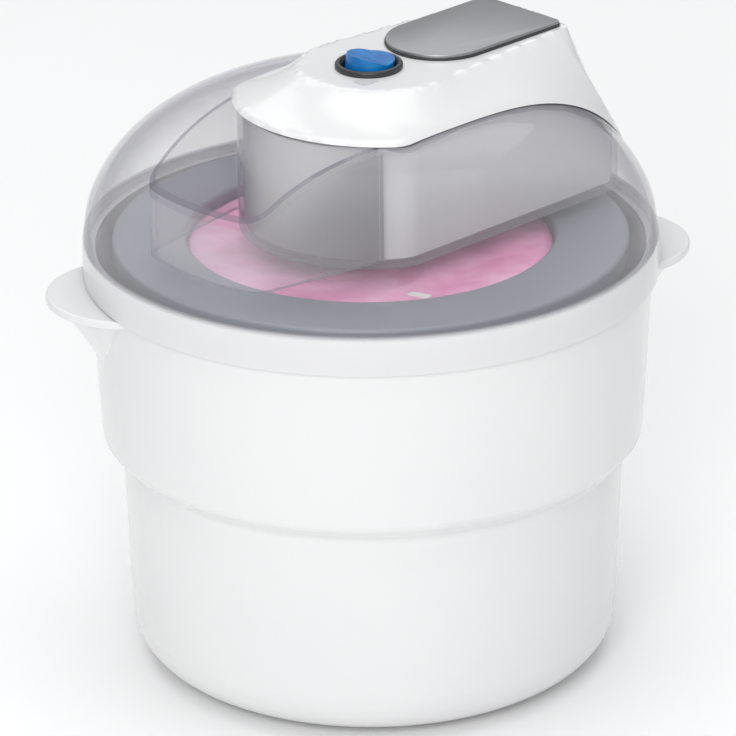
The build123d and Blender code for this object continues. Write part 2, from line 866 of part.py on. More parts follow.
def motor_can():
    low, high = motor_plate_top, can_top
    ears = block(
        (motor_axis - ear_radius, motor_axis + ear_radius), (-ear_reach, ear_reach), (low, low + can_wall))
    for x, y in ear_places():
        ears += post(x, y, ear_radius, low, low + can_wall)
        ears -= post(x, y, screw_radius, low - 1, low + can_wall + 1)
    can = post(motor_axis, 0, can_radius, low, high) + ears
    can -= post(motor_axis, 0, can_radius - can_wall, low - 1, high - can_wall)
    return can - post(motor_axis, 0, motor_bush_radius, high - 2, high + 1)


def motor_bush():
    seat = can_top - can_wall
    bush = band(axle_radius + bearing_gap, motor_bush_radius, seat, can_top)
    bush += band(axle_radius + bearing_gap, 1.5 * motor_bush_radius, seat - 2 * can_wall, seat)
    return Pos(motor_axis, 0, 0) * bush


def motor_screws():
    screws = []
    for x, y in ear_places():
        low = motor_plate_top + can_wall
        head = post(x, y, screw_head_radius - 0.4, low, low + screw_head_height)
        screws.append(head + post(x, y, screw_radius, motor_plate_bottom - 1.5, low))
    return group(screws)


def bobbin_ends():
    """Lowest and highest level of the coil's bobbin."""
    return motor_plate_top + bobbin_lift, can_top - bobbin_headroom


def coil_bobbin():
    low, high = bobbin_ends()
    inner = coil_inner_radius - bobbin_wall
    bobbin = band(inner, coil_inner_radius, low, high)
    for flange_low in (low, high - bobbin_flange):
        bobbin += band(inner, coil_outer_radius + running_gap, flange_low, flange_low + bobbin_flange)
    return Pos(motor_axis, 0, 0) * bobbin


def motor_coil():
    low, high = bobbin_ends()
    return Pos(motor_axis, 0, 0) * band(
        coil_inner_radius, coil_outer_radius, low + bobbin_flange, high - bobbin_flange)


def pole_claws():
    """Two crowns of claws that reach past each other round the rotor."""
    inner = rotor_radius + claw_air_gap
    outer = inner + claw_thickness
    low = motor_plate_top + running_gap
    high = can_top - can_wall - claw_headroom
    half = claw_width / 2
    crowns = []
    for ring_low, turn in ((low, 0.0), (high - claw_thickness, 180.0 / claw_count)):
        crown = band(inner, outer + claw_reach, ring_low, ring_low + claw_thickness)
        claw_low = low if turn == 0 else low + claw_end_gap
        claw_high = high - claw_end_gap if turn == 0 else high
        for k in range(claw_count):
            claw = block((inner, outer), (-half, half), (claw_low, claw_high))
            crown += Rot(0, 0, turn + k * 360.0 / claw_count) * claw
        crowns.append(Pos(motor_axis, 0, 0) * crown)
    return group(crowns)


def rotor_magnet():
    low, high = motor_plate_top + rotor_lift, can_top - rotor_headroom
    return Pos(motor_axis, 0, 0) * band(axle_radius, rotor_radius, low, high)


def rotor_shaft():
    return post(motor_axis, 0, axle_radius, upper_gear_bottom - 1.0, can_top)


def rotor_pinion():
    pinion = gear(pinion_teeth, 0.0, upper_gear_bottom, upper_gear_bottom + wheel_width + 0.8)
    pinion -= band(0, axle_radius, upper_gear_bottom - 1, upper_gear_bottom + wheel_width + 2)
    return Pos(motor_axis, 0, 0) * pinion


def terminal_block():
    """Two-way connector between the lead, the switch and the coil."""
    low = gear_base_bottom
    front = plate_back_end + screw_head_radius
    half = terminal_block_width
    body = block((front, front + half), (-half, half), (low, low + half))
    for y in (-half / 2, half / 2):
        body -= post(front + half / 2, y, screw_radius + running_gap, low + half / 2, low + half + 1)
    return body


lid_frame_nodes = {
    "lid_dome": lid_dome,
    "motor_well": motor_well,
    "chute_wall": chute_wall,
    "top_cover": top_cover,
    "lower_housing": lower_housing,
    "housing_screws": housing_screws,
    "cord_bush": cord_bush,
    "plate_underlay": plate_underlay,
    "decor_plate": decor_plate,
    "switch_body": switch_body,
    "switch_terminals": switch_terminals,
    "switch_rocker": switch_rocker,
    "output_gear": output_gear,
    "idler_gear": idler_gear,
    "idler_axle": idler_axle,
    "gear_base": gear_base,
    "gear_spacers": gear_spacers,
    "motor_plate": motor_plate,
    "gearbox_screws": gearbox_screws,
    "motor_can": motor_can,
    "motor_bush": motor_bush,
    "motor_screws": motor_screws,
    "coil_bobbin": coil_bobbin,
    "motor_coil": motor_coil,
    "pole_claws": pole_claws,
    "rotor_magnet": rotor_magnet,
    "rotor_shaft": rotor_shaft,
    "rotor_pinion": rotor_pinion,
    "terminal_block": terminal_block,
}

machine_frame_nodes = {
    "outer_container": outer_container,
    "bowl_outer_shell": bowl_outer_shell,
    "fill_plug": fill_plug,
    "bowl_inner_pot": bowl_inner_pot,
    "bowl_gasket": bowl_gasket,
    "bowl_top_ring": bowl_top_ring,
    "coolant_gel": coolant_gel,
    "shaft_bush": shaft_bush,
}

stirrer_nodes = {
    "drive_shaft": drive_shaft,
    "paddle": paddle,
}

os.makedirs("parts", exist_ok=True)
for node, make in lid_frame_nodes.items():
    export_step(in_lid_frame(make()), f"parts/{node}.step")
for node, make in machine_frame_nodes.items():
    export_step(make(), f"parts/{node}.step")
for node, make in stirrer_nodes.items():
    # A whole number of sixths of a turn keeps the shaft's hexagon in line with its socket.
    export_step(in_lid_frame(Rot(0, 0, paddle_turn) * make()), f"parts/{node}.step")
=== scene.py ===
import bmesh
import bpy
import json
import math
import numpy as np
from mathutils import Matrix, Vector, noise
from mathutils.geometry import delaunay_2d_cdt


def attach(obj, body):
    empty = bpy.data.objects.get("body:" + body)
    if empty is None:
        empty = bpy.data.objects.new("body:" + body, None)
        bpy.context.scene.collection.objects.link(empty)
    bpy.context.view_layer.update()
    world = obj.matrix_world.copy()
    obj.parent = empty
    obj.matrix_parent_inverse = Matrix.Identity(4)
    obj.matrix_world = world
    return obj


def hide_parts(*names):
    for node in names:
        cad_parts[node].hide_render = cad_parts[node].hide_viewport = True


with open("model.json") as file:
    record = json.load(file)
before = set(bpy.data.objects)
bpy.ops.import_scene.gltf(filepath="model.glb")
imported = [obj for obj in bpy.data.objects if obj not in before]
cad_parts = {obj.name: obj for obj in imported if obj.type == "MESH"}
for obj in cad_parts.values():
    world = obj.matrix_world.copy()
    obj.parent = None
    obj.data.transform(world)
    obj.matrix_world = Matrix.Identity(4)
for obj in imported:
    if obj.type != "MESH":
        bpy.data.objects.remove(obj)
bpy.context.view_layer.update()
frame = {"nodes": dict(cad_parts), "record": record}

nodes = frame["nodes"]
lidTurn = math.radians(30)  # the motor unit points this way from +X
mm = 0.001


# ---- shader values that can be used in plain sums

class Val:
    def __init__(self, finish, socket):
        self.finish = finish
        self.socket = socket

    def maths(self, operation, other=None, third=None, clamp=False):
        values = {0: self}
        if other is not None:
            values[1] = other
        if third is not None:
            values[2] = third
        return self.finish.node("ShaderNodeMath", {"operation": operation, "use_clamp": clamp}, values)

    def __add__(self, other):
        return self.maths("ADD", other)

    def __radd__(self, other):
        return self.maths("ADD", other)

    def __sub__(self, other):
        return self.maths("SUBTRACT", other)

    def __rsub__(self, other):
        return self.finish.node("ShaderNodeMath", {"operation": "SUBTRACT"}, {0: other, 1: self})

    def __mul__(self, other):
        return self.maths("MULTIPLY", other)

    def __rmul__(self, other):
        return self.maths("MULTIPLY", other)

    def __truediv__(self, other):
        return self.maths("DIVIDE", other)

    def __pow__(self, other):
        return self.maths("POWER", other)

    def ramp(self, low, high):  # 0 below low, 1 above high, smooth between
        return self.finish.node(
            "ShaderNodeMapRange", {"interpolation_type": "SMOOTHSTEP"},
            {0: self, 1: low, 2: high, 3: 0.0, 4: 1.0})

    def clipped(self):
        return self.maths("ADD", 0.0, clamp=True)


class Finish:
    def __init__(self, name, **uniform):
        self.material = bpy.data.materials.new(name)
        self.material.use_nodes = True
        self.tree = self.material.node_tree
        self.tree.nodes.clear()
        self.shader = self.tree.nodes.new("ShaderNodeBsdfPrincipled")
        self.output = self.tree.nodes.new("ShaderNodeOutputMaterial")
        self.tree.links.new(self.shader.outputs[0], self.output.inputs["Surface"])
        for socket, value in uniform.items():
            self.give(socket.replace("_", " "), value)

    def node(self, kind, settings=None, values=None, output=0):
        made = self.tree.nodes.new(kind)
        for key, value in (settings or {}).items():
            if key == "stops":
                self.setStops(made.color_ramp, value)
            else:
                setattr(made, key, value)
        for key, value in (values or {}).items():
            self.plug(made.inputs[key], value)
        return Val(self, made.outputs[output])

    def setStops(self, ramp, stops):
        while len(ramp.elements) < len(stops):
            ramp.elements.new(0.5)
        for element, (place, colour) in zip(ramp.elements, stops):
            element.position = place
            element.color = (*colour, 1)

    def plug(self, socket, value):
        if isinstance(value, Val):
            self.tree.links.new(value.socket, socket)
        elif isinstance(value, (tuple, list)) and len(value) == 3 and socket.type == "RGBA":
            socket.default_value = (*value, 1)
        else:
            socket.default_value = value

    def give(self, socket, value):
        self.plug(self.shader.inputs[socket], value)

    def place(self, turn=0.0, scale=(1, 1, 1)):  # object coordinates, turned about Z and stretched
        where = self.node("ShaderNodeTexCoord", output=3)
        return self.node("ShaderNodeMapping", {"vector_type": "POINT"}, {
            "Vector": where, "Rotation": (0, 0, turn), "Scale": scale})

    def noise(self, scale, detail=3.0, roughness=0.5, where=None):
        return self.node("ShaderNodeTexNoise", None, {
            "Vector": where or self.place(), "Scale": scale, "Detail": detail, "Roughness": roughness})

    def lines(self, across, detail):  # fine turned lines, across a distance in line widths
        return self.node("ShaderNodeTexNoise", {"noise_dimensions": "1D"}, {
            "W": across, "Scale": 1.0, "Detail": detail})

    def blend(self, share, first, second):  # colours
        return self.node("ShaderNodeMix", {"data_type": "RGBA"}, {0: share, 6: first, 7: second}, output=2)

    def bump(self, height, strength, distance):
        made = self.node("ShaderNodeBump", None, {
            "Height": height, "Strength": strength, "Distance": distance})
        self.give("Normal", made)


def axisRadius(finish, centre=(0, 0)):  # distance from an upright axis, in metres
    where = finish.place()
    parts = finish.tree.nodes.new("ShaderNodeSeparateXYZ")
    finish.tree.links.new(where.socket, parts.inputs[0])
    x = Val(finish, parts.outputs[0]) - centre[0]
    y = Val(finish, parts.outputs[1]) - centre[1]
    return (x * x + y * y) ** 0.5, Val(finish, parts.outputs[2])


# ---- finishes

def glossWhite():
    look = {"colour": (0.80, 0.80, 0.80), "shade": (0.765, 0.765, 0.77), "roughness": 0.2}
    f = Finish("glossWhite", IOR=1.5, Coat_Roughness=0.06)
    cloudy = f.noise(9, 4)
    f.give("Base Color", f.blend(cloudy.ramp(0.35, 0.75), look["colour"], look["shade"]))
    f.give("Roughness", look["roughness"] + (f.noise(55, 5) - 0.5) * 0.12)
    f.give("Coat Weight", 0.25)
    f.bump(f.noise(260, 2), 0.06, 0.0003)
    return f.material


def clearSmoke():
    f = Finish("clearSmoke", IOR=1.46, Coat_Roughness=0.03)
    grazing = f.node("ShaderNodeLayerWeight", None, {"Blend": 0.5}, output=1)
    edgeShade = f.node("ShaderNodeAttribute", {"attribute_name": "edge"}, output=2)  # less on walls
    radius, up = axisRadius(f)
    skirt = 1.0 - up.ramp(0.1535, 0.1555)  # the skirt is cloudy, the dome clear
    # painted shade: the smoky tint turns darker grey-violet where the plastic is seen at a grazing angle
    tintAndShade = f.blend(grazing.ramp(0.25, 0.95), (0.84, 0.835, 0.87), (0.37, 0.365, 0.43))
    # painted shade: dark lines along the plastic's cut edges and, weaker, on its upright walls, also made more
    # opaque there
    tintAndShade = f.blend(edgeShade.clipped(), tintAndShade, (0.17, 0.16, 0.21))
    f.give("Base Color", f.blend(skirt, tintAndShade, (0.80, 0.80, 0.81)))
    clear = 0.05 + (grazing ** 2.5) * 0.62 + edgeShade * 0.4
    f.give("Alpha", (clear + (0.88 - clear) * skirt).clipped())
    f.give("Roughness", 0.04 + f.noise(40, 4).ramp(0.55, 0.9) * 0.06)
    f.give("Coat Weight", 0.5)
    f.bump(f.noise(34, 3), 0.05, 0.0015)
    return f.material


def ringGrey():
    f = Finish("ringGrey", IOR=1.5)
    radius, up = axisRadius(f)
    turned = f.lines(radius * 900, 2.0)
    f.give("Base Color", f.blend(f.noise(12, 4), (0.21, 0.22, 0.255), (0.28, 0.29, 0.33)))
    f.give("Roughness", 0.3 + turned * 0.14)
    f.bump(turned, 0.1, 0.0002)
    return f.material


def spunAluminium():
    f = Finish("spunAluminium", Metallic=1.0)
    radius, up = axisRadius(f)
    lines = f.lines((radius + up) * 1500, 3.0)
    f.give("Base Color", f.blend(f.noise(15, 3), (0.72, 0.73, 0.75), (0.82, 0.83, 0.84)))
    f.give("Roughness", 0.26 + lines * 0.2)
    f.bump(lines, 0.15, 0.0002)
    return f.material


def blackPlastic():
    f = Finish("blackPlastic", IOR=1.5)
    grain = f.noise(900, 2)
    f.give("Base Color", f.blend(f.noise(40, 3), (0.018, 0.019, 0.020), (0.045, 0.047, 0.047)))
    f.give("Roughness", 0.3 + grain * 0.15)
    f.bump(grain, 0.15, 0.0001)
    return f.material


def blueRocker():
    f = Finish("blueRocker", IOR=1.45, Coat_Weight=0.15, Coat_Roughness=0.1)
    glow = f.noise(160, 2)
    f.give("Base Color", f.blend(glow.ramp(0.3, 0.7), (0.0, 0.12, 0.44), (0.0, 0.23, 0.60)))
    # painted glow: a faint blue emission lightens the rocker, which has no lamp in it
    f.give("Emission Color", (0.0, 0.30, 0.9))
    f.give("Emission Strength", 0.03)
    f.give("Transmission Weight", 0.15)
    f.give("Roughness", 0.28 + glow * 0.1)
    return f.material


def brushedPlate():
    f = Finish("brushedPlate", Metallic=1.0)
    hairs = f.noise(1.0, 3, 0.6, where=f.place(-lidTurn, (60, 4200, 60)))
    soft = f.noise(30, 3)
    f.give("Base Color", f.blend(hairs, (0.31, 0.315, 0.325), (0.42, 0.425, 0.435)))
    f.give("Roughness", 0.3 + hairs * 0.22 + soft * 0.06)
    f.bump(hairs, 0.25, 0.00008)
    return f.material


def sealRubber():
    f = Finish("sealRubber", IOR=1.45)
    grain = f.noise(700, 4)
    f.give("Base Color", f.blend(grain, (0.03, 0.03, 0.03), (0.075, 0.073, 0.07)))
    f.give("Roughness", 0.6 + grain * 0.2)
    f.bump(grain, 0.25, 0.0001)
    return f.material


def metal(name, dark, light, rough, scale):
    f = Finish(name, Metallic=1.0)
    mottle = f.noise(scale, 4)
    f.give("Base Color", f.blend(mottle, dark, light))
    f.give("Roughness", rough + f.noise(scale * 6, 3) * 0.15)
    f.bump(f.noise(scale * 9, 2), 0.08, 0.0001)
    return f.material


def mouldedPlastic(name, dark, light, rough):
    f = Finish(name, IOR=1.48)
    mottle = f.noise(22, 4)
    f.give("Base Color", f.blend(mottle, dark, light))
    f.give("Roughness", rough + f.noise(120, 3) * 0.14)
    f.bump(f.noise(420, 2), 0.08, 0.0002)
    return f.material


def copperWire():
    f = Finish("copperWire", Metallic=1.0, Coat_Weight=0.5)
    radius, up = axisRadius(f)
    turns = f.node("ShaderNodeMath", {"operation": "SINE"}, {0: up * 9000})
    f.give("Base Color", f.blend(f.noise(90, 4), (0.50, 0.17, 0.06), (0.80, 0.36, 0.16)))
    f.give("Roughness", 0.28 + f.noise(300, 3) * 0.15)
    f.bump(turns, 0.4, 0.0002)
    return f.material


def freezingGel():
    f = Finish("freezingGel", IOR=1.36, Transmission_Weight=0.5, Subsurface_Weight=0.1)
    cells = f.noise(70, 5, 0.6)
    f.give("Base Color", f.blend(cells, (0.20, 0.46, 0.80), (0.55, 0.78, 0.95)))
    f.give("Roughness", 0.2 + cells * 0.3)
    f.bump(cells, 0.3, 0.001)
    return f.material


def ferrite():
    f = Finish("ferrite", IOR=1.9)
    grain = f.noise(500, 5)
    f.give("Base Color", f.blend(grain, (0.02, 0.02, 0.022), (0.06, 0.058, 0.06)))
    f.give("Roughness", 0.5 + grain * 0.2)
    f.bump(grain, 0.3, 0.0002)
    return f.material


def iceCream():
    look = {"pink": (0.78, 0.27, 0.50), "pale": (0.90, 0.52, 0.70), "cold": (0.97, 0.80, 0.88)}
    f = Finish("iceCream", IOR=1.35, Subsurface_Weight=0.35, Subsurface_Scale=0.006)
    f.give("Subsurface Radius", (1.0, 0.5, 0.6))
    swirl = f.noise(26, 5, 0.55)
    crystals = f.noise(210, 4, 0.65)
    base = f.blend(swirl.ramp(0.35, 0.68), look["pink"], look["pale"])
    f.give("Base Color", f.blend(crystals.ramp(0.62, 0.85) * 0.5, base, look["cold"]))
    f.give("Roughness", 0.36 + crystals * 0.28)
    f.bump(crystals * 0.35 + swirl, 0.5, 0.0012)
    return f.material


finishes = {
    "white_gloss": glossWhite(),
    "clear_plastic": clearSmoke(),
    "ring_grey": ringGrey(),
    "pot_aluminium": spunAluminium(),
    "black_plastic": blackPlastic(),
    "blue_rocker": blueRocker(),
    "brushed_plate": brushedPlate(),
    "seal_rubber": sealRubber(),
    "steel": metal("zincSteel", (0.48, 0.49, 0.50), (0.66, 0.66, 0.65), 0.24, 60),
    "copper": copperWire(),
    "gel": freezingGel(),
    "gear_plastic": mouldedPlastic("gearPlastic", (0.72, 0.69, 0.61), (0.80, 0.78, 0.71), 0.34),
    "ferrite": ferrite(),
    "stirrer_plastic": mouldedPlastic("stirrerPlastic", (0.78, 0.78, 0.79), (0.85, 0.85, 0.85), 0.25),
    "terminal_brass": metal("terminalBrass", (0.62, 0.42, 0.13), (0.80, 0.60, 0.28), 0.22, 80),
}
for part in frame["record"]["subparts"]:
    mesh = nodes[part["node"]].data
    mesh.materials.clear()
    mesh.materials.append(finishes[part["material_slot"]])
print("finishes:", len(finishes))


# ---- camera, floor and light

def makeCamera():
    view = {"azimuth": -14.4, "elevation": 22.99, "distance": 1.9, "aim": 0.110, "roll": 0.62,
            "focal": 271.0, "shift": (-0.0054, -0.0253)}
    a, e = math.radians(view["azimuth"]), math.radians(view["elevation"])
    back = Vector((math.sin(a) * math.cos(e), -math.cos(a) * math.cos(e), math.sin(e)))
    data = bpy.data.cameras.new("camera")
    data.lens = view["focal"]
    data.sensor_width = 36
    data.shift_x, data.shift_y = view["shift"]
    data.clip_end = 20
    camera = bpy.data.objects.new("camera", data)
    bpy.context.scene.collection.objects.link(camera)
    facing = (-back).to_track_quat("-Z", "Y").to_matrix().to_4x4()
    roll = Matrix.Rotation(math.radians(-view["roll"]), 4, "Z")
    eye = Vector((0, 0, view["aim"])) + back * view["distance"]
    camera.matrix_world = Matrix.Translation(eye) @ facing @ roll
    bpy.context.scene.camera = camera


def makeFloor():
    look = {"size": 6.0, "colour": (0.94, 0.94, 0.94), "lighter": (0.96, 0.96, 0.96)}
    mesh = bpy.data.meshes.new("floor")
    h = look["size"] / 2
    mesh.from_pydata([(-h, -h, 0), (h, -h, 0), (h, h, 0), (-h, h, 0)], [], [(0, 1, 2, 3)])
    floor = bpy.data.objects.new("floor", mesh)
    bpy.context.scene.collection.objects.link(floor)
    f = Finish("paleFloor", IOR=1.3)
    f.give("Base Color", f.blend(f.noise(3, 3), look["colour"], look["lighter"]))
    f.give("Roughness", 0.8)
    mesh.materials.append(f.material)


def makeLights():
    panels = {
        "frontPanel": {"at": (-0.9, -2.3, 1.5), "size": (1.5, 1.5), "power": 38},
        "backPanel": {"at": (0.3, 2.2, 2.0), "size": (2.4, 1.0), "power": 10},
        "topPanel": {"at": (0.0, 0.0, 2.6), "size": (2.6, 2.6), "power": 33},
    }
    for name, panel in panels.items():
        light = bpy.data.lights.new(name, "AREA")
        light.shape = "RECTANGLE"
        light.size, light.size_y = panel["size"]
        light.energy = panel["power"]
        lamp = bpy.data.objects.new(name, light)
        bpy.context.scene.collection.objects.link(lamp)
        lamp.location = panel["at"]
        aim = Vector((0, 0, 0.1)) - Vector(panel["at"])
        lamp.rotation_euler = aim.to_track_quat("-Z", "Y").to_euler()
    world = bpy.data.worlds.new("studio")
    world.use_nodes = True
    tree = world.node_tree
    background = tree.nodes["Background"]
    background.inputs["Strength"].default_value = 0.42
    background.inputs["Color"].default_value = (0.97, 0.98, 1.0, 1)
    bpy.context.scene.world = world
    bpy.context.scene.view_settings.view_transform = "Standard"


makeCamera()
makeFloor()
makeLights()
print("camera, floor and light: done")


# ---- shaping helpers

def addPiece(name, body, mesh, finish, stands=()):
    mesh.materials.clear()
    mesh.materials.append(finish)
    piece = bpy.data.objects.new(name, mesh)
    bpy.context.scene.collection.objects.link(piece)
    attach(piece, body)
    if stands:
        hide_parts(*stands)
    return piece


def smoothed(mesh, angle=35):  # smooth faces, crisp where they meet at more than this angle
    mesh.polygons.foreach_set("use_smooth", [True] * len(mesh.polygons))
    mesh.set_sharp_from_angle(angle=math.radians(angle))
    mesh.update()
    return mesh


def meshFrom(bm, turn=0.0, angle=35):  # millimetres to metres, turned to its place
    bmesh.ops.transform(bm, matrix=Matrix.Rotation(turn, 4, "Z") @ Matrix.Scale(mm, 4), verts=bm.verts)
    bmesh.ops.recalc_face_normals(bm, faces=bm.faces)
    mesh = bpy.data.meshes.new("shape")
    bm.to_mesh(mesh)
    bm.free()
    return smoothed(mesh, angle)


def evaluated(piece):  # modifiers turned into plain mesh
    bpy.context.view_layer.update()
    graph = bpy.context.evaluated_depsgraph_get()
    mesh = bpy.data.meshes.new_from_object(piece.evaluated_get(graph))
    bpy.data.objects.remove(piece)
    return mesh


def copied(node):  # a CAD node's shape with its loose triangles joined
    bm = bmesh.new()
    bm.from_mesh(nodes[node].data)
    bmesh.ops.remove_doubles(bm, verts=bm.verts, dist=1e-6)
    bmesh.ops.dissolve_limit(bm, angle_limit=math.radians(1.0), verts=bm.verts, edges=bm.edges)
    return bm


def arc(centre, radius, start, end, step=1.5):  # points along an arc, angles in radians
    count = max(2, int(abs(end - start) * radius / step))
    spread = np.linspace(start, end, count + 1)
    return [(centre[0] + radius * math.cos(a), centre[1] + radius * math.sin(a)) for a in spread]


def edge(first, last, step=2.0):
    count = max(1, int(math.dist(first, last) / step))
    a, b = np.array(first), np.array(last)
    return [tuple(a + (b - a) * k / count) for k in range(count + 1)]


def tidyLoop(points, gap=0.25):  # no point twice
    loop = []
    for point in points:
        if not loop or math.dist(point, loop[-1]) > gap:
            loop.append(point)
    if math.dist(loop[0], loop[-1]) < gap:
        loop.pop()
    return loop


def inside(points, loop):
    x, y = points[:, 0][:, None], points[:, 1][:, None]
    a = np.array(loop)
    b = np.roll(a, -1, axis=0)
    crosses = (a[:, 1] > y) != (b[:, 1] > y)
    with np.errstate(divide="ignore", invalid="ignore"):
        meets = a[:, 0] + (y - a[:, 1]) / (b[:, 1] - a[:, 1]) * (b[:, 0] - a[:, 0])
    return (crosses & (x < meets)).sum(axis=1) % 2 == 1


def distanceTo(points, loop):
    best = np.full(len(points), 1e9)
    for a, b in zip(np.array(loop), np.roll(np.array(loop), -1, axis=0)):
        along = b - a
        share = np.clip(((points - a) @ along) / (along @ along), 0, 1)
        best = np.minimum(best, np.linalg.norm(points - a - share[:, None] * along, axis=1))
    return best


def columns(loops, extra, span, clear=0.7):
    # A solid given in plan: span(points) gives each place's lowest and highest level, and which
    # region it is in. Regions with no level are holes, and upright walls close every step.
    fixed, edges = [], []
    for loop in loops:
        first = len(fixed)
        fixed += loop
        edges += [(first + k, first + (k + 1) % len(loop)) for k in range(len(loop))]
    extra = np.array(extra)
    room = np.full(len(extra), 1e9)
    for loop in loops:
        room = np.minimum(room, distanceTo(extra, loop))
    loose = [tuple(p) for p in extra[room > clear]]
    plan, planEdges, faces = delaunay(fixed + loose, edges)
    plan = np.array(plan)
    middles = np.array([plan[list(f)].mean(axis=0) for f in faces])
    region = span(middles)[2]
    levels = {r: span(plan, r)[:2] for r in set(region) if r >= 0}
    bm = bmesh.new()
    made = {}

    def corner(i, z):
        key = (i, round(z, 3))
        if key not in made:
            made[key] = bm.verts.new((plan[i][0], plan[i][1], z))
        return made[key]

    def patch(corners):
        kept = []
        for c in corners:
            if c not in kept:
                kept.append(c)
        if len(kept) > 2:
            try:
                bm.faces.new(kept)
            except ValueError:
                pass

    beside = {}
    for f, r in zip(faces, region):
        if r >= 0:
            low, high = levels[r]
            patch([corner(i, high[i]) for i in f])
            patch([corner(i, low[i]) for i in reversed(f)])
        for k in range(len(f)):
            i, j = f[k], f[(k + 1) % len(f)]
            beside.setdefault((min(i, j), max(i, j)), []).append(r)
    for (i, j), sides in beside.items():
        a = sides[0]
        b = sides[1] if len(sides) > 1 else -1
        if a == b:
            continue
        if a < 0 or b < 0:
            low, high = levels[max(a, b)]
            patch([corner(i, low[i]), corner(j, low[j]), corner(j, high[j]), corner(i, high[i])])
            continue
        for side in (0, 1):
            one, two = levels[a][side], levels[b][side]
            if abs(one[i] - two[i]) + abs(one[j] - two[j]) > 0.002:
                patch([corner(i, one[i]), corner(j, one[j]), corner(j, two[j]), corner(i, two[i])])
    return bm


def delaunay(points, edges):
    found = delaunay_2d_cdt([Vector(p) for p in points], edges, [], 0, 1e-5)
    return [tuple(v) for v in found[0]], found[1], found[2]


# ---- forms of the lid and the motor unit, in the lid's own frame, in millimetres

lid = {
    "radius": 98.2, "wall": 2.0, "skirtLow": 142.0, "shoulderLow": 152.0, "reach": 61.5, "rise": 50.0,
    "well": {"front": 43.0, "half": 38.9, "back": 88.0, "corner": 10.0, "wall": 1.8, "floor": 160.0},
    "chute": {"half": 34.0, "outerHalf": 25.5, "inner": -29.0, "reach": 81.0, "corner": 8.0, "low": 161.0},
    "ledge": {"inner": 93.7, "low": 149.3, "high": 151.3, "clear": 0.04}, "bush": 6.5,
    "segments": {"skirt": 180, "ledge": 120, "bore": 40}, "crisp": 32,
}


def roofHeight(radius, inset=0.0):
    middle = lid["radius"] - lid["reach"]
    share = np.clip((radius - middle) / (lid["reach"] - inset), 0, 1)
    return lid["shoulderLow"] + (lid["rise"] - inset) * np.sqrt(1 - share ** 2)


def wellLoop(offset):
    w = lid["well"]
    front, half, back = w["front"] + offset, w["half"] + offset, w["back"] + offset
    corner = w["corner"] + offset
    small = corner / 3
    cx, cy = -math.sqrt((front - corner) ** 2 - (half - corner) ** 2), half - corner
    bx, by = math.sqrt((back - small) ** 2 - (half - small) ** 2), half - small
    frontTurn, backTurn = math.atan2(cy, cx), math.atan2(by, bx)
    loop = arc((0, 0), front, frontTurn, 2 * math.pi - frontTurn)
    loop += arc((cx, -cy), corner, 2 * math.pi - frontTurn, 1.5 * math.pi, 1.0)
    loop += edge((cx, -half), (bx, -half))
    loop += arc((bx, -by), small, -math.pi / 2, -backTurn, 0.6)
    loop += arc((0, 0), back, -backTurn, backTurn)
    loop += arc((bx, by), small, backTurn, math.pi / 2, 0.6)
    loop += edge((bx, half), (cx, half))
    loop += arc((cx, cy), corner, math.pi / 2, frontTurn, 1.0)
    return tidyLoop(loop)


def chuteLoop(offset):
    c = lid["chute"]
    reach, corner = c["reach"] + offset, c["corner"] + offset
    start = np.array((c["inner"], c["half"] + offset))
    end = np.array((-math.sqrt(reach ** 2 - (c["outerHalf"] + offset) ** 2), c["outerHalf"] + offset))
    along = (end - start) / np.linalg.norm(end - start)
    inward = np.array((-along[1], along[0]))
    base = start + corner * inward
    b = 2 * base @ along
    t = (-b + math.sqrt(b * b - 4 * (base @ base - (reach - corner) ** 2))) / 2
    cx, cy = base + t * along
    sideTurn, outerTurn = math.atan2(-inward[1], -inward[0]), math.atan2(cy, cx)
    top = edge(tuple(start), (cx - corner * inward[0], cy - corner * inward[1]))
    top += arc((cx, cy), corner, sideTurn, outerTurn, 1.0)
    loop = top + arc((0, 0), reach, outerTurn, 2 * math.pi - outerTurn)
    return tidyLoop(loop + [(x, -y) for x, y in reversed(top)])


def rings(radii, count, turn=0.0):
    angles = np.arange(count) * 2 * math.pi / count + turn
    return [(r * math.cos(a), r * math.sin(a)) for r in radii for a in angles]


